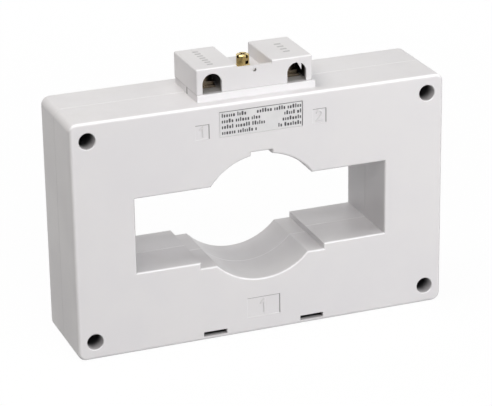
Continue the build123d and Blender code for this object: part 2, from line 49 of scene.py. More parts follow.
NODE_SMOOTH_ANGLE = math.radians(30.0)
PIECE_SMOOTH_ANGLE = math.radians(40.0)


def srgb(red: int, green: int, blue: int) -> Colour:
    """Turn an 8-bit sRGB colour into the linear one that a shader takes.

    Args:
        red: Red, from 0 to 255.
        green: Green, from 0 to 255.
        blue: Blue, from 0 to 255.

    Returns:
        Linear red, green, blue and an alpha of 1.
    """
    coded = np.array([red, green, blue]) / 255.0
    linear = np.where(coded <= 0.04045, coded / 12.92, ((coded + 0.055) / 1.055) ** 2.4)
    return (*(float(part) for part in linear), 1.0)


class Terminal(Enum):
    """The two secondary terminals: name used in nodes and bodies, and side along X."""

    FIRST = ("s1", -1)
    SECOND = ("s2", 1)

    @property
    def tag(self) -> str:
        """Name of the terminal in nodes and bodies."""
        return self.value[0]

    @property
    def side(self) -> int:
        """Sign of the terminal's place along X."""
        return self.value[1]


class Graph:
    """Adds and joins the nodes of one material or node group."""

    def __init__(self, tree: bpy.types.NodeTree) -> None:
        """Take a node tree and empty it."""
        self.tree = tree
        tree.nodes.clear()

    def feed(self, socket: Socket, value: Value) -> None:
        """Join a socket to another one, or set its value.

        Args:
            socket: The input.
            value: An output to link from, or a plain value.
        """
        if isinstance(value, Socket):
            self.tree.links.new(value, socket)
        else:
            socket.default_value = value

    def node(self, kind: str, inputs: dict | None = None, **settings: object) -> bpy.types.Node:
        """Add a node.

        Args:
            kind: Blender's type name.
            inputs: Values or outputs for its inputs, by name or number.
            settings: The node's own properties.

        Returns:
            The node.
        """
        made = self.tree.nodes.new(kind)
        for key, value in settings.items():
            setattr(made, key, value)
        for key, value in (inputs or {}).items():
            self.feed(made.inputs[key], value)
        return made

    def math(self, operation: str, first: Value, second: Value = 0.0) -> Socket:
        """Add one sum of two values, by Blender's name of the operation."""
        return self.node("ShaderNodeMath", {0: first, 1: second}, operation=operation).outputs[0]

    def chain(self, operation: str, *values: Value) -> Socket:
        """Join two or more values by one operation, from the left.

        Args:
            operation: Blender's name of the operation.
            values: The values.

        Returns:
            The result's socket.
        """
        result = values[0]
        for value in values[1:]:
            result = self.math(operation, result, value)
        return result

    def times(self, *values: Value) -> Socket:
        """Multiply two or more values."""
        return self.chain("MULTIPLY", *values)

    def most(self, *values: Value) -> Socket:
        """Give the largest of two or more values."""
        return self.chain("MAXIMUM", *values)

    def span(self, value: Value, low: float, high: float, start: float = 0.0, end: float = 1.0,
             ) -> Socket:
        """Map a value smoothly, from start at low to end at high, and hold it beyond them."""
        given = {"Value": value, "From Min": low, "From Max": high, "To Min": start, "To Max": end}
        return self.node("ShaderNodeMapRange", given, interpolation_type="SMOOTHSTEP").outputs[0]

    def mix(self, factor: Value, first: Value, second: Value) -> Socket:
        """Mix two colours; the factor is the share of the second one."""
        given = {0: factor, 6: first, 7: second}
        return self.node("ShaderNodeMix", given, data_type="RGBA").outputs[2]

    def noise(self, where: Value, scale: Value, detail: float, rough: float = 0.5) -> Socket:
        """Add a noise about 0.5, of scale waves in a metre and detail finer layers."""
        given = {"Vector": where, "Scale": scale, "Detail": detail, "Roughness": rough}
        return self.node("ShaderNodeTexNoise", given).outputs[0]

    def place(self, shift: tuple = (0.0, 0.0, 0.0), scale: tuple = (1.0, 1.0, 1.0)) -> Socket:
        """Give the object's own coordinates, centred and stretched.

        Args:
            shift: Point that becomes the origin.
            scale: Stretch along each axis.

        Returns:
            The coordinates' socket.
        """
        own = self.node("ShaderNodeTexCoord").outputs["Object"]
        centred = self.node("ShaderNodeVectorMath", {0: own, 1: shift}, operation="SUBTRACT")
        stretched = {0: centred.outputs[0], 1: scale}
        return self.node("ShaderNodeVectorMath", stretched, operation="MULTIPLY").outputs[0]

    def normal(self) -> list[Socket]:
        """Give the x, y and z of the surface's normal."""
        return self.parts(self.node("ShaderNodeNewGeometry").outputs["Normal"])

    def parts(self, vector: Value) -> list[Socket]:
        """Split a vector into its x, y and z."""
        return list(self.node("ShaderNodeSeparateXYZ", {0: vector}).outputs)

    def length(self, vector: Value) -> Socket:
        """Measure a vector."""
        return self.node("ShaderNodeVectorMath", {0: vector}, operation="LENGTH").outputs["Value"]

    def radius(self, first: Value, second: Value) -> Socket:
        """Measure the distance from an axis by two coordinates that are square to it."""
        return self.length(self.node("ShaderNodeCombineXYZ", {0: first, 1: second}).outputs[0])

    def near(self, value: Value, middle: float, half: float) -> Socket:
        """Tell whether a value is less than half from the middle, as 0 or 1."""
        away = self.math("ABSOLUTE", self.math("SUBTRACT", value, middle))
        return self.math("LESS_THAN", away, half)

    def group(self, tree: bpy.types.NodeTree, **inputs: Value) -> bpy.types.bpy_prop_collection:
        """Place a node group with its inputs, and give its outputs by name."""
        return self.node("ShaderNodeGroup", inputs, node_tree=tree).outputs


class Effects:
    """Shared surface effects, each one a node group that is built once."""

    CLOUD_SHARE = 0.012
    CLOUD_SPAN = (0.3, 0.7)
    EDGE_SPAN = (0.995, 0.8)
    RUB_SPAN = (0.15, 0.6)
    SOIL_SPAN = (0.45, 0.95)
    SOIL_FRONT = -0.02
    DUST_PATCH_SPAN = (0.35, 0.75)
    DUST_UP_SPAN = (0.2, 0.95)
    LINE_STRETCH = (1.0, 0.03, 1.0)
    STAIN_SHARE = 0.09
    LINE_SPAN = (0.75, 1.3)
    TARNISH_SCALE = 900.0
    TARNISH_SPAN = (0.38, 0.68)

    @staticmethod
    def _start(name: str, inputs: dict[str, str], outputs: dict[str, str]) -> tuple:
        """Open a node group.

        Args:
            name: Its name.
            inputs: Socket types of its inputs, by name.
            outputs: Socket types of its outputs, by name.

        Returns:
            The tree, its graph, the outputs of its input node and the inputs of its output node.
        """
        tree = bpy.data.node_groups.new(name, "ShaderNodeTree")
        for way, sockets in (("INPUT", inputs), ("OUTPUT", outputs)):
            for label, kind in sockets.items():
                tree.interface.new_socket(label, in_out=way, socket_type=f"NodeSocket{kind}")
        graph = Graph(tree)
        given = graph.node("NodeGroupInput").outputs
        return tree, graph, given, graph.node("NodeGroupOutput").inputs

    @cached_property
    def moulded_grain(self) -> bpy.types.NodeTree:
        """Spark-eroded grain of a mould.

        Returns:
            Group with a fine Height, and a broad Cloud of uneven filling.
        """
        tree, graph, given, result = self._start(
            "moulded_grain", {"Scale": "Float"}, {"Height": "Float", "Cloud": "Float"})
        own = graph.place()
        cloud = graph.noise(own, graph.times(given["Scale"], self.CLOUD_SHARE), detail=3.0)
        height = graph.noise(own, given["Scale"], detail=4.0, rough=0.6)
        graph.feed(result["Height"], height)
        graph.feed(result["Cloud"], graph.span(cloud, *self.CLOUD_SPAN))
        return tree

    @cached_property
    def broken_edges(self) -> bpy.types.NodeTree:
        """Edges that are rounded by a small radius.

        Returns:
            Group with their Normal, and an Edge mask of the rounded edges, which the finishes tint
            with their edge colour: lighter as a painted highlight, darker on the raised numerals as
            a painted shade.
        """
        tree, graph, given, result = self._start(
            "broken_edges", {"Radius": "Float"}, {"Normal": "Vector", "Edge": "Float"})
        bevel = graph.node("ShaderNodeBevel", {"Radius": given["Radius"]}, samples=4).outputs[0]
        flat = graph.node("ShaderNodeNewGeometry").outputs["Normal"]
        turn = graph.node("ShaderNodeVectorMath", {0: bevel, 1: flat}, operation="DOT_PRODUCT")
        graph.feed(result["Normal"], bevel)
        graph.feed(result["Edge"], graph.span(turn.outputs["Value"], *self.EDGE_SPAN))
        return tree

    @cached_property
    def painted_highlight_edges(self) -> bpy.types.NodeTree:
        """Painted highlight on the rounded edges between the front and what faces up, found by the
        normal.

        Returns:
            Group with the mask of the painted highlight.
        """
        tree, graph, _, result = self._start("painted_highlight_edges", {}, {"Highlight": "Float"})
        _, y, z = graph.normal()
        both = graph.math("MINIMUM", graph.times(y, -1.0), z)
        graph.feed(result["Highlight"], graph.span(both, *self.RUB_SPAN))
        return tree

    @cached_property
    def painted_shade_edges(self) -> bpy.types.NodeTree:
        """Painted shade on the rounded front edges that turn down or to the right, found by the
        normal.

        Returns:
            Group with the mask of the painted shade.
        """
        tree, graph, _, result = self._start("painted_shade_edges", {}, {"Edge Shade": "Float"})
        x, y, z = graph.normal()
        turned = graph.span(graph.most(x, graph.times(z, -1.0)), *self.SOIL_SPAN)
        front = graph.math("LESS_THAN", y, self.SOIL_FRONT)
        graph.feed(result["Edge Shade"], graph.times(turned, front))
        return tree

    @cached_property
    def settled_dust(self) -> bpy.types.NodeTree:
        """Dust on what faces up.

        Returns:
            Group with a Dust mask that thins out in patches.
        """
        tree, graph, given, result = self._start(
            "settled_dust", {"Scale": "Float", "Amount": "Float"}, {"Dust": "Float"})
        noise = graph.noise(graph.place(), given["Scale"], detail=5.0, rough=0.65)
        patches = graph.span(noise, *self.DUST_PATCH_SPAN)
        lying = graph.span(graph.normal()[2], *self.DUST_UP_SPAN)
        graph.feed(result["Dust"], graph.times(lying, patches, given["Amount"]))
        return tree

    @cached_property
    def drawn_lines(self) -> bpy.types.NodeTree:
        """Fine lines along Y that rolling or drawing leaves.

        Returns:
            Group with their Height, and a Shade of 0 to 1.
        """
        tree, graph, given, result = self._start(
            "drawn_lines", {"Scale": "Float"}, {"Height": "Float", "Shade": "Float"})
        along = graph.place(scale=self.LINE_STRETCH)
        lines = graph.noise(along, given["Scale"], detail=4.0, rough=0.7)
        broad = graph.times(given["Scale"], self.STAIN_SHARE)
        stains = graph.noise(graph.place(), broad, detail=3.0)
        graph.feed(result["Height"], lines)
        both = graph.math("ADD", lines, stains)
        graph.feed(result["Shade"], graph.span(both, *self.LINE_SPAN))
        return tree

    @cached_property
    def turned_rings(self) -> bpy.types.NodeTree:
        """Marks of a lathe round the Z axis of the given coordinates.

        The height is a sine of the distance from the axis plus z, over the pitch.

        Returns:
            Group with their Height, and a Shade of tarnish.
        """
        tree, graph, given, result = self._start(
            "turned_rings", {"Place": "Vector", "Pitch": "Float"},
            {"Height": "Float", "Shade": "Float"})
        x, y, z = graph.parts(given["Place"])
        path = graph.math("ADD", graph.radius(x, y), z)
        turns = graph.math("DIVIDE", path, given["Pitch"])
        wave = graph.math("SINE", graph.times(turns, 2.0 * math.pi))
        tarnish = graph.noise(given["Place"], self.TARNISH_SCALE, detail=4.0, rough=0.6)
        graph.feed(result["Height"], graph.span(wave, -1.0, 1.0))
        graph.feed(result["Shade"], graph.span(tarnish, *self.TARNISH_SPAN))
        return tree

    @cached_property
    def screw_thread(self) -> bpy.types.NodeTree:
        """Ridges of a thread on the shank.

        The crest winds round the Z axis of the given coordinates, one Pitch for each turn,
        and only what is nearer to the axis than Shank has it.

        Returns:
            Group with a Height, which is the distance from the nearest crest.
        """
        tree, graph, given, result = self._start(
            "screw_thread", {"Place": "Vector", "Pitch": "Float", "Shank": "Float"},
            {"Height": "Float"})
        x, y, z = graph.parts(given["Place"])
        turn = graph.math("DIVIDE", graph.math("ARCTAN2", y, x), 2.0 * math.pi)
        phase = graph.math("ADD", graph.math("DIVIDE", z, given["Pitch"]), turn)
        ridge = graph.math("PINGPONG", phase, 0.5)
        inside = graph.math("LESS_THAN", graph.radius(x, y), given["Shank"])
        graph.feed(result["Height"], graph.times(ridge, inside))
        return tree


@dataclass(frozen=True)
class Mark:
    """A place on a surface with painted light or shade laid over it, such as a sunken bar or a deep
    hole.
    """

    mask: Callable[[Graph], Socket]
    colour: Colour
    depth: float = 0.0


class Sheet:
    """One material with its shader and output already joined."""

    def __init__(self, name: str) -> None:
        """Make the material.

        Args:
            name: Its name.
        """
        self.material = bpy.data.materials.new(name)
        self.material.use_nodes = True
        self.graph = Graph(self.material.node_tree)
        self.shader = self.graph.node("ShaderNodeBsdfPrincipled")
        self.graph.node("ShaderNodeOutputMaterial", {"Surface": self.shader.outputs[0]})

    def set(self, **inputs: Value) -> None:
        """Set or join the shader's inputs; an underscore in a name stands for a space."""
        for key, value in inputs.items():
            self.graph.feed(self.shader.inputs[key.replace("_", " ")], value)

    def bump(self, height: Value, depth: float, normal: Value | None = None) -> Socket:
        """Add a bump.

        Args:
            height: Height from 0 to 1.
            depth: Metres that a height of 1 stands for.
            normal: Normal to start from.

        Returns:
            The new normal's socket.
        """
        given = {"Height": height, "Distance": depth}
        if normal is not None:
            given["Normal"] = normal
        return self.graph.node("ShaderNodeBump", given).outputs[0]

    def marked(self, colour: Value, normal: Value | None, marks: tuple[Mark, ...]) -> tuple:
        """Lay marks over a colour, and sink those that have a depth.

        Args:
            colour: Colour under the marks.
            normal: Normal under the marks.
            marks: The marks, in the order that they cover each other.

        Returns:
            The new colour and normal.
        """
        for mark in marks:
            mask = mark.mask(self.graph)
            colour = self.graph.mix(mask, colour, mark.colour)
            if mark.depth:
                height = self.graph.math("SUBTRACT", 1.0, mask)
                normal = self.bump(height, mark.depth, normal)
        return colour, normal

    def rough(self, mask: Value, middle: float, below: float, above: float) -> Socket:
        """Grade the roughness about its middle value by a mask of 0 to 1."""
        return self.graph.span(mask, 0.0, 1.0, middle - below, middle + above)


@dataclass(frozen=True)
class PlasticFinish:
    """Moulded plastic with a fine grain, slightly rounded edges, and painted highlight and shade on
    its edges.
    """

    name: str
    colour: Colour
    cloud_colour: Colour
    edge_colour: Colour
    roughness: float
    grain_scale: float = 2600.0
    grain_depth: float = 3.0e-6
    edge_radius: float = 0.2 * MM
    dust: float = 0.10
    dust_scale: float = 70.0
    dust_colour: Colour = srgb(206, 202, 196)
    rub: float = 0.0
    rub_colour: Colour = srgb(248, 247, 249)
    soil: float = 0.0
    soil_colour: Colour = srgb(132, 130, 130)

    def material(self, effects: Effects, marks: tuple[Mark, ...] = ()) -> bpy.types.Material:
        """Make the material.

        Args:
            effects: The shared effects.
            marks: Places with painted light or shade laid over the colour.

        Returns:
            The material.
        """
        sheet = Sheet(self.name)
        graph = sheet.graph
        grain = graph.group(effects.moulded_grain, Scale=self.grain_scale)
        edges = graph.group(effects.broken_edges, Radius=self.edge_radius)
        dust = graph.group(effects.settled_dust, Scale=self.dust_scale, Amount=self.dust)["Dust"]
        colour = graph.mix(grain["Cloud"], self.colour, self.cloud_colour)
        # Edge colour over the Edge mask: a painted highlight where it is lighter than the plastic,
        # a painted shade where it is darker.
        colour = graph.mix(edges["Edge"], colour, self.edge_colour)
        colour = graph.mix(dust, colour, self.dust_colour)
        # Painted highlight on the edges between front and top, and painted shade on the front edges
        # that turn down or right.
        if self.rub:
            highlighted = graph.group(effects.painted_highlight_edges)["Highlight"]
            colour = graph.mix(graph.times(highlighted, self.rub), colour, self.rub_colour)
        if self.soil:
            edge_shaded = graph.group(effects.painted_shade_edges)["Edge Shade"]
            colour = graph.mix(graph.times(edge_shaded, self.soil), colour, self.soil_colour)
        colour, normal = sheet.marked(colour, edges["Normal"], marks)
        rough = sheet.rough(grain["Cloud"], self.roughness, below=0.03, above=0.04)
        sheet.set(Base_Color=colour, Roughness=graph.math("ADD", rough, dust),
                  Normal=sheet.bump(grain["Height"], self.grain_depth, normal))
        return sheet.material


@dataclass(frozen=True)
class TurnedFinish:
    """Turned metal of a screw or bush, with lathe marks, tarnish and a thread."""

    name: str
    colour: Colour
    tarnish: Colour
    edge_colour: Colour
    roughness: float
    ring_pitch: float = 0.16 * MM
    ring_depth: float = 2.0e-6
    thread_pitch: float = 0.8 * MM
    thread_depth: float = 0.35 * MM
    edge_radius: float = 0.12 * MM

    def material(self, effects: Effects, place: Callable[[Graph], Socket], shank: float,
                 marks: tuple[Mark, ...] = ()) -> bpy.types.Material:
        """Make the material.

        Args:
            effects: The shared effects.
            place: Makes coordinates whose Z axis is the axis that the piece was turned on.
            shank: Radius within which the piece has its thread.
            marks: Places with painted light or shade laid over the colour.

        Returns:
            The material.
        """
        sheet = Sheet(self.name)
        graph = sheet.graph
        where = place(graph)
        rings = graph.group(effects.turned_rings, Place=where, Pitch=self.ring_pitch)
        edges = graph.group(effects.broken_edges, Radius=self.edge_radius)
        thread = graph.group(effects.screw_thread, Place=where, Pitch=self.thread_pitch,
                             Shank=shank)
        colour = graph.mix(rings["Shade"], self.colour, self.tarnish)
        # Lighter edge colour over the Edge mask: worn bright metal and a painted highlight.
        colour = graph.mix(edges["Edge"], colour, self.edge_colour)
        colour, normal = sheet.marked(colour, edges["Normal"], marks)
        normal = sheet.bump(thread["Height"], self.thread_depth, normal)
        sheet.set(Base_Color=colour, Metallic=1.0,
                  Roughness=sheet.rough(rings["Shade"], self.roughness, below=0.06, above=0.1),
                  Normal=sheet.bump(rings["Height"], self.ring_depth, normal))
        return sheet.material


@dataclass(frozen=True)
class DrawnFinish:
    """Rolled or drawn strip metal, with lines along its length, and edges lightened as wear and as
    a painted highlight.
    """

    name: str
    colour: Colour
    stain: Colour
    edge_colour: Colour
    roughness: float
    line_scale: float = 2400.0
    line_depth: float = 3.0e-6
    edge_radius: float = 0.15 * MM

    def material(self, effects: Effects) -> bpy.types.Material:
        """Make the material.

        Args:
            effects: The shared effects.

        Returns:
            The material.
        """
        sheet = Sheet(self.name)
        graph = sheet.graph
        lines = graph.group(effects.drawn_lines, Scale=self.line_scale)
        edges = graph.group(effects.broken_edges, Radius=self.edge_radius)
        colour = graph.mix(lines["Shade"], self.colour, self.stain)
        # Lighter edge colour over the Edge mask: worn bright metal and a painted highlight.
        sheet.set(Base_Color=graph.mix(edges["Edge"], colour, self.edge_colour), Metallic=1.0,
                  Roughness=sheet.rough(lines["Shade"], self.roughness, below=0.05, above=0.1),
                  Normal=sheet.bump(lines["Height"], self.line_depth, edges["Normal"]))
        return sheet.material


@dataclass(frozen=True)
class WrapFinish:
    """A wound or wrapped layer: turns side by side along X, of film, wire or sleeve."""

    name: str
    colour: Colour
    groove_colour: Colour
    roughness: float
    pitch: float
    depth: float
    slant: float = 0.0
    metallic: float = 0.0
    groove: float = 0.45
    cloud: float = 0.2
    grain_scale: float = 1800.0
    grain_span: Span = (0.3, 0.7)

    def material(self, effects: Effects) -> bpy.types.Material:
        """Make the material.

        The turns' profile is the absolute sine of x + slant times z, over the pitch.

        Args:
            effects: The shared effects.

        Returns:
            The material.
        """
        sheet = Sheet(self.name)
        graph = sheet.graph
        x, _, z = graph.parts(graph.place())
        along = graph.math("ADD", x, graph.times(z, self.slant))
        crown = graph.math("ABSOLUTE", graph.math("SINE", graph.times(along, math.pi / self.pitch)))
        grain = graph.group(effects.moulded_grain, Scale=self.grain_scale)
        # Darker colour in the grooves between turns is a painted shade.
        colour = graph.mix(graph.span(crown, 0.0, self.groove), self.groove_colour, self.colour)
        clouded = graph.times(grain["Cloud"], self.cloud)
        rough = graph.span(grain["Height"], *self.grain_span,
                           self.roughness - 0.05, self.roughness + 0.08)
        sheet.set(Base_Color=graph.mix(clouded, colour, self.groove_colour), Roughness=rough,
                  Metallic=self.metallic, Normal=sheet.bump(crown, self.depth))
        return sheet.material


@dataclass(frozen=True)
class FoamFinish:
    """Closed-cell foam: round cells, with the pits darkened as painted shade."""

    name: str
    colour: Colour
    pit_colour: Colour
    cell_scale: float = 1400.0
    pit_span: Span = (0.1, 0.6)
    pit_depth: float = 0.12 * MM
    cloud: float = 0.3
    grain_scale: float = 900.0
    roughness: Span = (0.95, 0.8)

    def material(self, effects: Effects) -> bpy.types.Material:
        """Make the material.

        Args:
            effects: The shared effects.

        Returns:
            The material.
        """
        sheet = Sheet(self.name)
        graph = sheet.graph
        given = {"Vector": graph.place(), "Scale": self.cell_scale}
        cells = graph.node("ShaderNodeTexVoronoi", given).outputs["Distance"]
        grain = graph.group(effects.moulded_grain, Scale=self.grain_scale)
        pit = graph.span(cells, *self.pit_span)
        # Pits darkened as painted shade.
        colour = graph.mix(pit, self.pit_colour, self.colour)
        clouded = graph.times(grain["Cloud"], self.cloud)
        sheet.set(Base_Color=graph.mix(clouded, colour, self.pit_colour),
                  Roughness=graph.span(pit, 0.0, 1.0, *self.roughness),
                  Normal=sheet.bump(pit, self.pit_depth))
        return sheet.material


@dataclass(frozen=True)
class PrintFinish:
    """Foil of the rating plate, or the ink on it."""

    name: str
    colour: Colour
    patch_colour: Colour
    roughness: float
    metallic: float
    patch_scale: float
    patch_span: Span = (0.35, 0.7)
    tooth_scale: float = 3000.0
    tooth_depth: float = 2.0e-6

    def material(self, effects: Effects, marks: tuple[Mark, ...] = ()) -> bpy.types.Material:
        """Make the material.

        Args:
            effects: The shared effects.
            marks: Places with painted light or shade laid over the colour.

        Returns:
            The material.
        """
        sheet = Sheet(self.name)
        graph = sheet.graph
        lines = graph.group(effects.drawn_lines, Scale=self.tooth_scale)
        noise = graph.noise(graph.place(), self.patch_scale, detail=4.0, rough=0.6)
        colour = graph.mix(graph.span(noise, *self.patch_span), self.colour, self.patch_colour)
        colour, normal = sheet.marked(colour, None, marks)
        sheet.set(Base_Color=colour, Metallic=self.metallic,
                  Roughness=sheet.rough(lines["Shade"], self.roughness, below=0.06, above=0.06),
                  Normal=sheet.bump(lines["Height"], self.tooth_depth, normal))
        return sheet.material


# Edge colours lighter than the plastic are a painted highlight; the raised numerals' darker edge
# colour is a painted shade.
CASE_PLASTIC = PlasticFinish("case_plastic", srgb(222, 220, 221), srgb(219, 217, 219),
                             srgb(232, 231, 233), 0.36, rub=0.75, soil=0.75)
COVER_PLASTIC = PlasticFinish("cover_plastic", srgb(221, 219, 220), srgb(217, 215, 217),
                              srgb(232, 231, 233), 0.38, rub=0.5, soil=0.5)
MARK_PLASTIC = PlasticFinish("raised_mark_plastic", srgb(218, 216, 217), srgb(213, 211, 213),
                             srgb(180, 178, 179), 0.36, edge_radius=0.1 * MM, soil=0.5)
BASE_PLASTIC = PlasticFinish("terminal_base_plastic", srgb(196, 193, 190), srgb(188, 185, 182),
                             srgb(208, 206, 204), 0.5, grain_depth=6.0e-6)
BOX_PLASTIC = PlasticFinish("core_box_plastic", srgb(46, 46, 49), srgb(38, 38, 41),
                            srgb(70, 70, 74), 0.48, dust=0.0)
BRASS = TurnedFinish("seal_brass", srgb(224, 202, 142), srgb(198, 170, 106),
                     srgb(252, 242, 212), 0.2)
# Darker than fresh zinc: dull plating, and partly a painted shade so the screws sit dark at the
# bottom of the wells.
DULL_SHADED_ZINC = TurnedFinish("dull_shaded_zinc_screw", srgb(104, 105, 108), srgb(70, 70, 72),
                         srgb(140, 141, 145), 0.42, thread_pitch=1.3 * MM)
# Plating darkened below its fresh tone, partly as a painted shade for the clamps deep inside the
# wire ports.
CLAMP_METAL = TurnedFinish("clamp_screw_plating", srgb(132, 122, 106), srgb(90, 80, 66),
                           srgb(168, 160, 144), 0.32)
STRIP_METAL = DrawnFinish("strip_plating", srgb(134, 123, 106), srgb(92, 82, 68),
                          srgb(178, 170, 154), 0.32)
CORE_STEEL = DrawnFinish("core_strip_steel", srgb(128, 130, 134), srgb(90, 90, 94),
                         srgb(160, 162, 166), 0.42, line_scale=3200.0, line_depth=2.0e-5)
COPPER = WrapFinish("enamelled_wire", srgb(176, 92, 44), srgb(84, 36, 16), 0.3,
                    1.2 * MM, 0.4 * MM, metallic=0.8)
TAPE = WrapFinish("film_tape", srgb(214, 178, 60), srgb(170, 134, 36), 0.35,
                  9.0 * MM, 0.1 * MM, slant=0.35)
SLEEVE = WrapFinish("woven_sleeve", srgb(140, 30, 26), srgb(92, 16, 14), 0.6,
                    0.5 * MM, 0.1 * MM, slant=1.0)
FOAM = FoamFinish("pad_foam", srgb(58, 58, 60), srgb(32, 32, 34))
PLATE_FOIL = PrintFinish("rating_plate_foil", srgb(213, 212, 213), srgb(207, 206, 207),
                         0.55, 0.1, 120.0)
PLATE_INK = PrintFinish("rating_plate_ink", srgb(58, 57, 60), srgb(84, 83, 86), 0.6, 0.0, 900.0)


def smooth_node(node: bpy.types.Object) -> None:
    """Shade a CAD node's curved faces smoothly, with its sharp edges kept.

    Args:
        node: The CAD object; only its modifiers and its shading change.
    """
    smooth = np.ones(len(node.data.polygons), dtype=bool)
    node.data.polygons.foreach_set("use_smooth", smooth)
    weld = node.modifiers.new("weld", "WELD")
    weld.merge_threshold = WELD_DISTANCE
    split = node.modifiers.new("split", "EDGE_SPLIT")
    split.split_angle = NODE_SMOOTH_ANGLE
    weighted = node.modifiers.new("weighted", "WEIGHTED_NORMAL")
    weighted.keep_sharp = True


def dress(names: list[str], material: bpy.types.Material) -> None:
    """Put a material on CAD nodes and shade them smoothly.

    Args:
        names: The nodes.
        material: The material that takes the place of the node's own.
    """
    for name in names:
        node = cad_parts[name]
        node.data.materials.clear()
        node.data.materials.append(material)
        smooth_node(node)
        LOG.info("dressed %s with %s", name, material.name)


def new_piece(name: str, vertices: np.ndarray, faces: list, material: bpy.types.Material,
              body: str) -> None:
    """Make a piece from arrays and let it ride on a body.

    Args:
        name: The piece's name.
        vertices: Points in metres, one row each.
        faces: Rows of point numbers, counter-clockwise seen from outside.
        material: Its material.
        body: CAD body that it moves with.
    """
    mesh = bpy.data.meshes.new(name)
    mesh.from_pydata(vertices.tolist(), [], faces)
    mesh.polygons.foreach_set("use_smooth", np.ones(len(mesh.polygons), dtype=bool))
    mesh.validate()
    mesh.materials.append(material)
    piece = bpy.data.objects.new(name, mesh)
    bpy.context.scene.collection.objects.link(piece)
    split = piece.modifiers.new("split", "EDGE_SPLIT")
    split.split_angle = PIECE_SMOOTH_ANGLE
    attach(piece, body)
    LOG.info("built %s, %d points, on %s", name, len(vertices), body)


def signed_power(values: np.ndarray, power: float) -> np.ndarray:
    """Raise the size of each value to a power and keep its sign."""
    return np.sign(values) * np.abs(values) ** power


def tube_faces(rows: int, columns: int) -> tuple[np.ndarray, np.ndarray]:
    """List the faces of a closed tube of rings, with a cap on each end.

    Args:
        rows: Number of rings.
        columns: Points in a ring.

    Returns:
        Quads between the rings, and one row for each of the two caps.
    """
    ring, point = np.meshgrid(np.arange(rows - 1), np.arange(columns), indexing="ij")
    after = (point + 1) % columns
    quads = np.stack([ring * columns + point, ring * columns + after,
                      (ring + 1) * columns + after, (ring + 1) * columns + point], axis=-1)
    first = np.arange(columns)[::-1]
    last = np.arange(columns) + (rows - 1) * columns
    return quads.reshape(-1, 4), np.stack([first, last])


@dataclass
class RaisedNumeral:
    """A plain numeral that stands up from the floor of a marking field on the front face."""

    name: str
    strokes: list[np.ndarray]
    centre_x: float
    bottom_z: float
    height: float
    stroke_width: float
    floor_y: float
    relief: float = 0.34 * MM
    sink: float = 0.04 * MM
    rings: int = 40
    profile_points: int = 20
    squareness: float = 0.6
    tip: float = 0.995

    def _stroke(self, path: np.ndarray) -> np.ndarray:
        """Work out the surface of one stroke.

        A point is P(u) + s(v) k(u) N(u) in the face and h(v) out of it. P is the path, run on by
        half a stroke at both ends, N its normal in the face, (s, h) an oval with squared-off
        sides, and k(u) = sqrt(1 - d(u)^2) draws the two ends to a half circle, with d the
        distance past the end over half a stroke.

        Args:
            path: Points of the middle line in units of the numeral's height, one row each.

        Returns:
            Array of rings by profile points by 3.
        """
        half = self.stroke_width / 2
        line = path * self.height + np.array([self.centre_x, self.bottom_z])
        start = line[0] + (line[0] - line[1]) / np.linalg.norm(line[0] - line[1]) * half
        end = line[-1] + (line[-1] - line[-2]) / np.linalg.norm(line[-1] - line[-2]) * half
        line = np.vstack([start, line, end])
        steps = np.linalg.norm(np.diff(line, axis=0), axis=1)
        travel = np.concatenate([[0.0], np.cumsum(steps)])
        at = (1.0 - np.cos(np.linspace(0.0, math.pi, self.rings))) / 2 * travel[-1]
        middle = np.stack([np.interp(at, travel, line[:, k]) for k in (0, 1)], axis=-1)
        tangent = np.gradient(middle, axis=0)
        tangent /= np.linalg.norm(tangent, axis=1, keepdims=True)
        normal = np.stack([-tangent[:, 1], tangent[:, 0]], axis=-1)
        past = np.clip(1.0 - np.minimum(at, travel[-1] - at) / half, 0.0, self.tip)
        pull = np.sqrt(1.0 - past ** 2)
        turn = np.linspace(0.0, 2 * math.pi, self.profile_points, endpoint=False)
        side = half * signed_power(np.cos(turn), self.squareness)
        rise = np.where(np.sin(turn) > 0, self.relief, self.sink)
        out = rise * signed_power(np.sin(turn), self.squareness)
        across = pull[:, None] * side[None, :]
        in_face = middle[:, None, :] + across[..., None] * normal[:, None, :]
        depth = np.broadcast_to(self.floor_y - out, across.shape)
        return np.stack([in_face[..., 0], depth, in_face[..., 1]], axis=-1)

    def build(self, material: bpy.types.Material) -> None:
        """Make the numeral's piece.

        Args:
            material: Its material.
        """
        grids = [self._stroke(path).reshape(-1, 3) for path in self.strokes]
        starts = np.arange(len(grids)) * self.rings * self.profile_points
        quads, caps = tube_faces(self.rings, self.profile_points)
        faces = (starts[:, None, None] + quads).reshape(-1, 4).tolist()
        faces += (starts[:, None, None] + caps).reshape(-1, self.profile_points).tolist()
        new_piece(self.name, np.vstack(grids), faces, material, "case")


def numeral_one() -> list[np.ndarray]:
    """Draw a 1: a stem and a flag.

    Returns:
        The strokes' middle lines, in units of the numeral's height.
    """
    stem = np.linspace([0.0, 0.0], [0.0, 1.0], 12)
    flag = np.linspace([-0.26, 0.74], [-0.03, 0.97], 8)
    return [stem, flag]


def numeral_two() -> list[np.ndarray]:
    """Draw a 2: more than half of a circle that runs into a slant, and a foot.

    Returns:
        The strokes' middle lines, in units of the numeral's height.
    """
    bow_radius = 0.28
    foot_left, foot_right = [-0.30, 0.0], [0.32, 0.0]
    turn = np.linspace(math.radians(165.0), math.radians(-35.0), 24)
    bow = bow_radius * np.stack([np.cos(turn), np.sin(turn)], axis=-1) + [0.0, 1.0 - bow_radius]
    slant = np.linspace(bow[-1], foot_left, 14)[1:]
    return [np.vstack([bow, slant]), np.linspace(foot_left, foot_right, 10)]


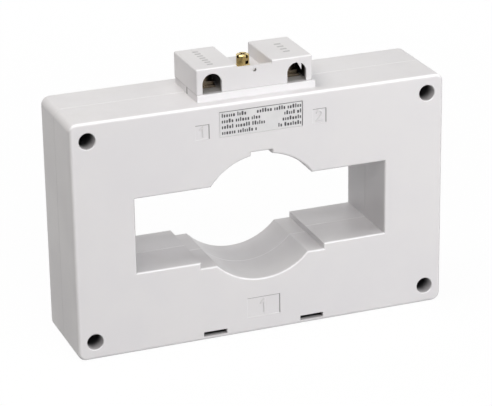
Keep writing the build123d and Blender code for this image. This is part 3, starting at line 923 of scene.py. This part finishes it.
@dataclass
class CaseShell:
    """The two halves of the case, their screws and the raised numerals on the front.

    A pair of sizes is a middle and a half width, or where a shade starts and where it is full.
    A field has its middle along Z and its half sizes along X and Z, and a numeral's size is its
    bottom along Z, its height and its stroke.
    """

    well_x: float = 82.0 * MM
    well_z: float = 48.4 * MM
    middle_z: float = 57.0 * MM
    screw_shank: float = 1.8 * MM
    face_y: float = 21.75 * MM
    well_radius: float = 3.9 * MM
    well_shade: Span = (0.6 * MM, 9.0 * MM)
    slot_x: Span = (24.0 * MM, 5.95 * MM)
    slot_z: Span = (2.9 * MM, 1.35 * MM)
    slot_shade: Span = (0.6 * MM, 3.8 * MM)
    notch_y: Span = (-2.7 * MM, 0.8 * MM)
    notch_z: Span = (115.9 * MM, 1.7 * MM)
    notch_strength: float = 0.6
    rim_y: float = -15.4 * MM
    rim_z: Span = (116.0 * MM, 1.6 * MM)
    field_floor_y: float = -21.35 * MM
    field_sunk: Span = (-21.4 * MM, 0.25 * MM)
    field_line: Span = (0.36 * MM, 0.18 * MM)
    field_overhang: float = 0.16 * MM
    field_margin: float = 0.1 * MM
    primary_field: Triple = (12.5 * MM, 8.15 * MM, 4.9 * MM)
    secondary_field: Triple = (102.0 * MM, 3.35 * MM, 3.5 * MM)
    secondary_x: float = 28.3 * MM
    primary_shift: float = 0.4 * MM
    first_shift: float = 0.3 * MM
    primary_size: Triple = (9.4 * MM, 6.2 * MM, 1.2 * MM)
    secondary_size: Triple = (99.8 * MM, 4.5 * MM, 0.85 * MM)

    def _screw_axis(self, graph: Graph) -> Socket:
        """Fold the four screws onto one.

        Args:
            graph: Graph of the material.

        Returns:
            Coordinates of |x| and |z| from the screw, and y along its axis.
        """
        x, y, z = graph.parts(graph.place((0.0, 0.0, self.middle_z)))
        across = graph.math("SUBTRACT", graph.math("ABSOLUTE", x), self.well_x)
        upward = graph.math("SUBTRACT", graph.math("ABSOLUTE", z), self.well_z)
        return graph.node("ShaderNodeCombineXYZ", {0: across, 1: upward, 2: y}).outputs[0]

    def _deep(self, graph: Graph, y: Value, shade: Span) -> Socket:
        """Grade the painted shade from 0 to 1 with the distance below the nearer of the front and
        rear faces.
        """
        below = graph.math("SUBTRACT", self.face_y, graph.math("ABSOLUTE", y))
        return graph.span(below, *shade)

    def _holes(self, graph: Graph) -> Socket:
        """Make the mask of the painted shade in the screw wells and the foot slots, and of a
        painted dark notch on the rim's sides that stands for the shade in a gap.

        Args:
            graph: Graph of the material.

        Returns:
            The mask's socket.
        """
        across, upward, y = graph.parts(self._screw_axis(graph))
        in_well = graph.math("LESS_THAN", graph.radius(across, upward), self.well_radius)
        well = graph.times(in_well, self._deep(graph, y, self.well_shade))
        x, _, z = graph.parts(graph.place())
        slot = graph.times(graph.near(graph.math("ABSOLUTE", x), *self.slot_x),
                           graph.near(z, *self.slot_z), self._deep(graph, y, self.slot_shade))
        notch = graph.times(graph.near(z, *self.notch_z), graph.near(y, *self.notch_y),
                            self.notch_strength)
        return graph.most(well, slot, notch)

    def _rim(self, graph: Graph) -> Socket:
        """Make the mask of the rim's front under the cover, which a painted highlight lightens."""
        _, y, z = graph.parts(graph.place())
        return graph.times(graph.near(z, *self.rim_z), graph.math("LESS_THAN", y, self.rim_y))

    def _field_lines(self, graph: Graph) -> Socket:
        """Make the mask of the painted shadow lines inside the top and right edges of the marking
        fields.

        Args:
            graph: Graph of the material.

        Returns:
            The mask's socket.
        """
        x, y, z = graph.parts(graph.place())
        lines = []
        for centre_x, (centre_z, half_x, half_z) in (
                (0.0, self.primary_field), (-self.secondary_x, self.secondary_field),
                (self.secondary_x, self.secondary_field)):
            from_right = graph.math("SUBTRACT", centre_x + half_x, x)
            from_top = graph.math("SUBTRACT", centre_z + half_z - self.field_overhang, z)
            line = graph.span(graph.math("MINIMUM", from_right, from_top), *self.field_line)
            lines.append(graph.times(line, graph.near(x, centre_x, half_x + self.field_margin),
                                     graph.near(z, centre_z, half_z + self.field_margin)))
        return graph.times(graph.most(*lines), graph.near(y, *self.field_sunk))

    def dress(self, effects: Effects) -> None:
        """Give the case halves their plastic with painted highlight and shade marks, and the case
        screws their finish.

        Args:
            effects: The shared effects.
        """
        # Painted highlight on the rim; painted shadow lines in the fields; painted shade in the
        # wells, foot slots and rim notch.
        marks = (Mark(self._rim, srgb(229, 228, 230)),
                 Mark(self._field_lines, srgb(150, 148, 149)),
                 Mark(self._holes, srgb(26, 25, 25)))
        dress(["front_case", "rear_case"], CASE_PLASTIC.material(effects, marks))
        dress(["case_screws"], DULL_SHADED_ZINC.material(effects, self._screw_axis, self.screw_shank))

    def build(self, effects: Effects) -> None:
        """Make the numerals in the three marking fields.

        Args:
            effects: The shared effects.
        """
        plastic = MARK_PLASTIC.material(effects)
        for name, strokes, centre_x, size in (
                ("numeral_primary", numeral_one(), self.primary_shift, self.primary_size),
                ("numeral_secondary_s1", numeral_one(), self.first_shift - self.secondary_x,
                 self.secondary_size),
                ("numeral_secondary_s2", numeral_two(), self.secondary_x, self.secondary_size)):
            RaisedNumeral(name, strokes, centre_x, *size, self.field_floor_y).build(plastic)


@dataclass
class RatingPlate:
    """The rating plate and its print, which is rows of plain bars in word-like groups."""

    face_y: float = -21.65 * MM
    left_x: float = -19.0 * MM
    right_x: float = 19.3 * MM
    first_row_z: float = 108.5 * MM
    row_pitch: float = 2.72 * MM
    bar_half_height: float = 0.98 * MM
    bar_width: Span = (0.55, 1.0)
    low_bar: float = 0.72
    bar_gap: float = 0.40 * MM
    word_gap: float = 1.15 * MM
    bar_corners: int = 12
    squareness: float = 0.5
    ink_thickness: float = 0.02 * MM
    seed: int = 11
    line_corner: Span = (20.0 * MM, 110.2 * MM)
    line_edge: Span = (0.3 * MM, 0.21 * MM)
    top_line_share: float = 1.5
    words: tuple[tuple[list[int], list[int]], ...] = (
        ([6, 4], [6, 5, 6]), ([5, 6, 4], [5, 2]), ([5, 6, 6], [8]), ([6, 7, 1], [2, 7]))

    def _row(self, lengths: list[int], draw: np.random.Generator) -> np.ndarray:
        """Lay out one group of words from the left.

        Args:
            lengths: Bars in each word.
            draw: Source of the bars' widths and heights.

        Returns:
            Rows of left edge, width and half height.
        """
        count = sum(lengths)
        widths = draw.uniform(*self.bar_width, count) * MM
        heights = self.bar_half_height * draw.choice([self.low_bar, self.low_bar, 1.0], count)
        gaps = np.full(count, self.bar_gap)
        gaps[np.cumsum(lengths) - 1] = self.word_gap
        left = np.concatenate([[0.0], np.cumsum(widths + gaps)[:-1]])
        return np.stack([left, widths, heights], axis=-1)

    def _bars(self) -> np.ndarray:
        """Lay out all the bars.

        Returns:
            Rows of middle x, bottom z, half width and half height.
        """
        draw = np.random.default_rng(self.seed)
        made = []
        for row, (left_words, right_words) in enumerate(self.words):
            bottom = self.first_row_z - row * self.row_pitch - self.bar_half_height
            left = self._row(left_words, draw)
            right = self._row(right_words, draw)
            left[:, 0] += self.left_x
            right[:, 0] += self.right_x - right[-1, 0] - right[-1, 1]
            both = np.vstack([left, right])
            made.append(np.stack([both[:, 0] + both[:, 1] / 2, np.full(len(both), bottom),
                                  both[:, 1] / 2, both[:, 2]], axis=-1))
        return np.vstack(made)

    def build(self, effects: Effects) -> None:
        """Make the print as one piece of flat bars.

        Each bar is a squared-off oval, x = w c^0.5 and z = h s^0.5 with the signs of cosine and
        sine kept, drawn out by the ink's thickness and set a quarter of it into the plate.

        Args:
            effects: The shared effects.
        """
        corners = self.bar_corners
        turn = (np.arange(corners) + 0.5) * 2 * math.pi / corners
        bars = self._bars()
        x = bars[:, None, 0] + bars[:, None, 2] * signed_power(np.cos(turn), self.squareness)
        rise = signed_power(np.sin(turn), self.squareness) + 1.0
        z = bars[:, None, 1] + bars[:, None, 3] * rise
        layers = [np.stack([x, np.full_like(x, y), z], axis=-1)
                  for y in (self.face_y - self.ink_thickness, self.face_y + self.ink_thickness / 4)]
        points = np.concatenate(layers, axis=1).reshape(-1, 3)
        ring = np.arange(corners)
        after = (ring + 1) % corners
        sides = np.stack([ring, ring + corners, after + corners, after], axis=-1)
        start = np.arange(len(bars))[:, None] * 2 * corners
        faces = (start[:, :, None] + sides[None]).reshape(-1, 4).tolist()
        faces += (start + ring).tolist() + (start + ring[::-1] + corners).tolist()
        ink = PLATE_INK.material(effects)
        new_piece("rating_print", points, faces, ink, "case")

    def _lines(self, graph: Graph) -> Socket:
        """Make the mask of the painted shade lines along the plate's top and right edges.

        Args:
            graph: Graph of the material.

        Returns:
            The mask's socket.
        """
        x, _, z = graph.parts(graph.place())
        from_right = graph.math("SUBTRACT", self.line_corner[0], x)
        from_top = graph.math("SUBTRACT", self.line_corner[1], z)
        nearest = graph.math("MINIMUM", from_right, graph.times(from_top, self.top_line_share))
        return graph.span(nearest, *self.line_edge)

    def dress(self, effects: Effects) -> None:
        """Give the plate its foil, with a painted shade line along two of its edges."""
        # Painted shade lines along the plate's top and right edges.
        marks = (Mark(self._lines, srgb(96, 95, 97)),)
        dress(["rating_plate"], PLATE_FOIL.material(effects, marks))


@dataclass(frozen=True)
class BarRow:
    """A row of plain bars along Y on top of the cover."""

    middle: Triple
    bars: int
    pitch: float
    half_length: float
    edge: Span = (0.22, 0.34)
    blur: float = 0.3 * MM

    def mask(self, graph: Graph) -> Socket:
        """Make the row's mask.

        Along Y the distance to the nearest bar is a ping-pong of y over the pitch, and along X it
        is the distance from the row's middle. Only what is above the middle's z is in it.

        Args:
            graph: Graph of the material.

        Returns:
            The mask's socket.
        """
        x, y, z = graph.parts(graph.place(self.middle))
        half_row = self.bars * self.pitch / 2
        from_bar = graph.math("PINGPONG", graph.math("ADD", y, half_row), self.pitch / 2)
        bar = graph.span(from_bar, *(self.pitch * share for share in self.edge))
        in_row = graph.span(graph.math("ABSOLUTE", y), half_row, half_row - self.blur)
        in_length = graph.span(graph.math("ABSOLUTE", x), self.half_length,
                               self.half_length - self.blur)
        return graph.times(bar, in_row, in_length, graph.math("GREATER_THAN", z, 0.0))


@dataclass
class TerminalCover:
    """The cover over the terminals, with a row of plain sunken bars, darkened as painted shade, on
    each raised end.
    """

    left_row: BarRow = BarRow((-19.9 * MM, -0.6 * MM, 129.0 * MM), 7, 3.2 * MM, 1.5 * MM)
    right_row: BarRow = BarRow((18.6 * MM, -0.6 * MM, 129.0 * MM), 4, 3.8 * MM, 1.7 * MM)
    bar_depth: float = 0.25 * MM
    seam_z: Span = (117.8 * MM, 117.5 * MM)
    middle_x: float = -0.6 * MM
    inner_x: Span = (18.5 * MM, 8.3 * MM)
    inner_y: Span = (-15.0 * MM, -11.5 * MM)
    inner_top_z: float = 127.3 * MM
    hole_y: Span = (-15.6 * MM, -14.9 * MM)
    hole_z: float = 125.9 * MM
    hole_half: float = 1.0 * MM

    def _bars(self, graph: Graph) -> Socket:
        """Make the mask of both rows of bars, which are sunk and darkened as painted shade."""
        return graph.most(self.left_row.mask(graph), self.right_row.mask(graph))

    def _seam(self, graph: Graph) -> Socket:
        """Make the mask of the painted shade along the shut line at the cover's lower edge, darker
        towards the bottom.
        """
        return graph.span(graph.parts(graph.place())[2], *self.seam_z)

    def _wire_hole(self, graph: Graph) -> Socket:
        """Make the mask of the painted shade in the hole for the seal wire, which darkens from its
        mouth.

        Args:
            graph: Graph of the material.

        Returns:
            The mask's socket.
        """
        x, y, z = graph.parts(graph.place())
        return graph.times(graph.near(x, self.middle_x, self.hole_half),
                           graph.near(z, self.hole_z, self.hole_half),
                           graph.span(y, *self.hole_y),
                           graph.math("LESS_THAN", y, self.inner_y[1]))

    def _inner(self, graph: Graph) -> Socket:
        """Make the mask of the painted shade on the inside, which darkens behind the wire ports.

        Args:
            graph: Graph of the material.

        Returns:
            The mask's socket.
        """
        x, y, z = graph.parts(graph.place((self.middle_x, 0.0, 0.0)))
        return graph.times(graph.span(y, *self.inner_y),
                           graph.math("LESS_THAN", z, self.inner_top_z),
                           graph.near(graph.math("ABSOLUTE", x), *self.inner_x),
                           graph.math("LESS_THAN", y, -self.inner_y[1]))

    def dress(self, effects: Effects) -> None:
        """Give the cover its plastic, with sunken bars on its raised ends and painted shade in the
        bars, the shut line, the seal-wire hole and the inside.

        Args:
            effects: The shared effects.
        """
        # Bars darkened as painted shade; painted shade on the shut line, in the seal-wire hole and
        # on the inside.
        marks = (Mark(self._bars, srgb(180, 178, 179), self.bar_depth),
                 Mark(self._seam, srgb(176, 174, 175)), Mark(self._wire_hole, srgb(112, 110, 109)),
                 Mark(self._inner, srgb(30, 28, 27)))
        dress(["terminal_cover"], COVER_PLASTIC.material(effects, marks))


@dataclass
class SealScrew:
    """The brass seal screw and the bush that it turns in."""

    axis: Triple = (-0.6 * MM, -0.6 * MM, 0.0)
    shank: float = 2.1 * MM
    turn: float = 21.0
    slot_half: float = 0.57 * MM
    slot_z: Span = (128.1 * MM, 0.55 * MM)
    hole_half: float = 0.95 * MM
    hole_z: float = 125.6 * MM
    hole_reach: float = 2.9 * MM

    def _place(self, graph: Graph) -> Socket:
        """Give coordinates about the screw's axis."""
        return graph.place(self.axis)

    def _dark(self, graph: Graph) -> Socket:
        """Make the mask of the painted shade inside the cross slot and the hole for the seal wire.

        Both are square to axes that are turned about Z with the screw.

        Args:
            graph: Graph of the material.

        Returns:
            The mask's socket.
        """
        given = {"Vector": self._place(graph), "Angle": -math.radians(self.turn)}
        turned = graph.node("ShaderNodeVectorRotate", given, rotation_type="Z_AXIS").outputs[0]
        x, y, z = graph.parts(turned)
        cross = graph.most(graph.near(x, 0.0, self.slot_half), graph.near(y, 0.0, self.slot_half))
        slot = graph.times(cross, graph.near(z, *self.slot_z))
        bore = graph.times(graph.near(x, 0.0, self.hole_half),
                           graph.near(z, self.hole_z, self.hole_half),
                           graph.near(y, 0.0, self.hole_reach))
        return graph.most(slot, bore)

    def dress(self, effects: Effects) -> None:
        """Give the screw and the bush their turned brass, with painted shade in the slot and the
        hole.

        Args:
            effects: The shared effects.
        """
        # Painted shade in the cross slot and the seal-wire hole.
        marks = (Mark(self._dark, srgb(58, 42, 20)),)
        brass = BRASS.material(effects, self._place, self.shank, marks)
        dress(["seal_screw", "seal_insert"], brass)


@dataclass
class TerminalClamps:
    """The terminal base with its two strips, pressure plates, washers and clamp screws."""

    pitch: float = 40.8 * MM
    middle_x: float = -0.6 * MM
    axis_y: float = -1.8 * MM
    shank: float = 2.5 * MM

    def dress(self, effects: Effects) -> None:
        """Give the base its plastic and the clamps their plating.

        Args:
            effects: The shared effects.
        """
        dress(["terminal_base"], BASE_PLASTIC.material(effects))
        strip = STRIP_METAL.material(effects)
        for terminal in Terminal:
            axis = (self.middle_x + terminal.side * self.pitch / 2, self.axis_y, 0.0)
            turned = CLAMP_METAL.material(effects, lambda graph, at=axis: graph.place(at),
                                          self.shank)
            flat = ("terminal_strip", "clamp_plate", "spring_washer")
            dress([f"{piece}_{terminal.tag}" for piece in flat], strip)
            dress([f"terminal_screw_{terminal.tag}"], turned)


@dataclass
class WoundCore:
    """The core in its box, with the winding, the tape, the leads and the foam pads."""

    layers: tuple[tuple[list[str], DrawnFinish | PlasticFinish | WrapFinish | FoamFinish], ...] = (
        (["core"], CORE_STEEL), (["core_box", "core_box_lid"], BOX_PLASTIC),
        (["secondary_winding"], COPPER), (["winding_tape"], TAPE),
        (["front_pad", "rear_pad"], FOAM),
        ([f"lead_{terminal.tag}" for terminal in Terminal], SLEEVE))

    def dress(self, effects: Effects) -> None:
        """Give every layer of the core its finish."""
        for names, finish in self.layers:
            dress(names, finish.material(effects))


@dataclass
class SoftBox:
    """A square studio lamp that looks at the object."""

    name: str
    direction: Triple
    power: float
    colour: Triple = (1.0, 1.0, 1.0)
    distance: float = 1.8
    size: float = 0.8
    mirrored: bool = True

    def build(self, target: Vector) -> None:
        """Hang the lamp.

        Args:
            target: Point that it looks at.
        """
        lamp = bpy.data.lights.new(self.name, "AREA")
        lamp.shape = "SQUARE"
        lamp.size = self.size
        lamp.energy = self.power
        lamp.color = self.colour
        away = Vector(self.direction).normalized()
        holder = bpy.data.objects.new(self.name, lamp)
        holder.visible_glossy = self.mirrored
        bpy.context.scene.collection.objects.link(holder)
        turn = (-away).to_track_quat("-Z", "Y").to_matrix().to_4x4()
        holder.matrix_world = Matrix.Translation(target + away * self.distance) @ turn


@dataclass
class Studio:
    """Floor, lamps, world and camera."""

    target: Triple = (0.16 * MM, 0.0, 55.73 * MM)
    azimuth: float = -20.71
    elevation: float = 21.69
    roll: float = -0.91
    distance: float = 1.08687
    lens: float = 170.84
    sensor: float = 36.0
    clip: Span = (0.05, 50.0)
    floor_z: float = -0.15 * MM
    floor_half: float = 4.0
    floor_tones: tuple[Colour, Colour] = (srgb(146, 146, 146), srgb(150, 150, 150))
    floor_grain: float = 40.0
    floor_glow: Span = (0.96, 1.0)
    floor_reach: Span = (0.18, 0.6)
    lamps: list[SoftBox] = field(default_factory=lambda: [
        SoftBox("front_lamp", (0.0, -0.985, 0.174), 8.9),
        SoftBox("right_lamp", (0.633, -0.754, 0.174), 6.2, distance=1.1, size=0.6),
        SoftBox("high_front_lamp", (0.0, -0.766, 0.643), 5.2),
        SoftBox("left_front_lamp", (-0.492, -0.587, 0.643), 5.8, (1.0, 0.965, 0.93)),
        SoftBox("left_top_lamp", (-0.5, 0.0, 0.866), 9.4, (1.0, 0.955, 0.9)),
        SoftBox("top_lamp", (0.0, -0.035, 0.999), 7.6, (0.955, 0.992, 1.0)),
        SoftBox("back_lamp", (-0.28, 0.58, 0.76), 6.2),
        SoftBox("rear_fill_lamp", (-0.1, 0.99, 0.1), 4.0, mirrored=False),
    ])

    def _white_rays(self, graph: Graph) -> Socket:
        """Tell the rays that show the background: from the camera, a gloss or a clear piece."""
        path = graph.node("ShaderNodeLightPath").outputs
        return graph.most(path["Is Camera Ray"], path["Is Glossy Ray"], path["Is Transmission Ray"])

    def _floor_material(self) -> bpy.types.Material:
        """Make the floor's material: grey paper for the light, and a white glow where it is seen.

        The glow leaves a little of the object's shadow near it and is full farther out.

        Returns:
            The material.
        """
        material = bpy.data.materials.new("floor_white")
        material.use_nodes = True
        graph = Graph(material.node_tree)
        paper = graph.noise(graph.place(), self.floor_grain, detail=4.0)
        seen = graph.node("ShaderNodeLightPath").outputs["Is Camera Ray"]
        tone = graph.mix(seen, graph.mix(paper, *self.floor_tones), WHITE)
        matt = graph.node("ShaderNodeBsdfDiffuse", {"Color": tone}).outputs[0]
        glow = graph.node("ShaderNodeEmission", {"Strength": 1.0}).outputs[0]
        share = graph.span(graph.length(graph.place()), *self.floor_reach, *self.floor_glow)
        share = graph.times(self._white_rays(graph), share)
        both = graph.node("ShaderNodeMixShader", {0: share, 1: matt, 2: glow}).outputs[0]
        graph.node("ShaderNodeOutputMaterial", {"Surface": both})
        return material

    def _floor(self) -> None:
        """Lay the floor, a flat square at the floor's height."""
        corners = np.array([[-1.0, -1.0, 0.0], [1.0, -1.0, 0.0], [1.0, 1.0, 0.0], [-1.0, 1.0, 0.0]])
        points = corners * self.floor_half + [0.0, 0.0, self.floor_z]
        mesh = bpy.data.meshes.new("floor")
        mesh.from_pydata(points.tolist(), [], [[0, 1, 2, 3]])
        mesh.materials.append(self._floor_material())
        floor = bpy.data.objects.new("floor", mesh)
        bpy.context.scene.collection.objects.link(floor)

    def _world(self) -> None:
        """Make the world, which is white where it is seen and gives no light elsewhere."""
        world = bpy.data.worlds.new("studio")
        world.use_nodes = True
        bpy.context.scene.world = world
        graph = Graph(world.node_tree)
        given = {"Color": WHITE, "Strength": self._white_rays(graph)}
        sky = graph.node("ShaderNodeBackground", given)
        graph.node("ShaderNodeOutputWorld", {"Surface": sky.outputs[0]})

    def _camera(self) -> None:
        """Set the camera at the photograph's angle, turned about its own axis by the roll."""
        turn = math.radians(self.azimuth)
        lift = math.radians(self.elevation)
        back = Vector((math.sin(turn) * math.cos(lift), -math.cos(turn) * math.cos(lift),
                       math.sin(lift)))
        right = (-back).cross(Vector((0.0, 0.0, 1.0))).normalized()
        level = Matrix((right, back.cross(right), back)).transposed().to_4x4()
        data = bpy.data.cameras.new("camera")
        data.lens = self.lens
        data.sensor_fit = "HORIZONTAL"
        data.sensor_width = self.sensor
        data.clip_start, data.clip_end = self.clip
        camera = bpy.data.objects.new("camera", data)
        bpy.context.scene.collection.objects.link(camera)
        stand = Matrix.Translation(Vector(self.target) + back * self.distance)
        camera.matrix_world = stand @ level @ Matrix.Rotation(math.radians(self.roll), 4, "Z")
        bpy.context.scene.camera = camera

    def build(self) -> None:
        """Set up the whole studio."""
        bpy.context.scene.view_settings.view_transform = "Standard"
        self._floor()
        self._world()
        for lamp in self.lamps:
            lamp.build(Vector(self.target))
        self._camera()
        LOG.info("built the studio with %d lamps", len(self.lamps))


def main() -> None:
    """Build and dress every sub-assembly in order, then the studio."""
    logging.basicConfig(level=logging.INFO, format="%(message)s")
    effects = Effects()
    case = CaseShell()
    case.dress(effects)
    case.build(effects)
    plate = RatingPlate()
    plate.dress(effects)
    plate.build(effects)
    for assembly in (TerminalCover(), SealScrew(), TerminalClamps(), WoundCore()):
        assembly.dress(effects)
    Studio().build()


if __name__ == "__main__":
    main()
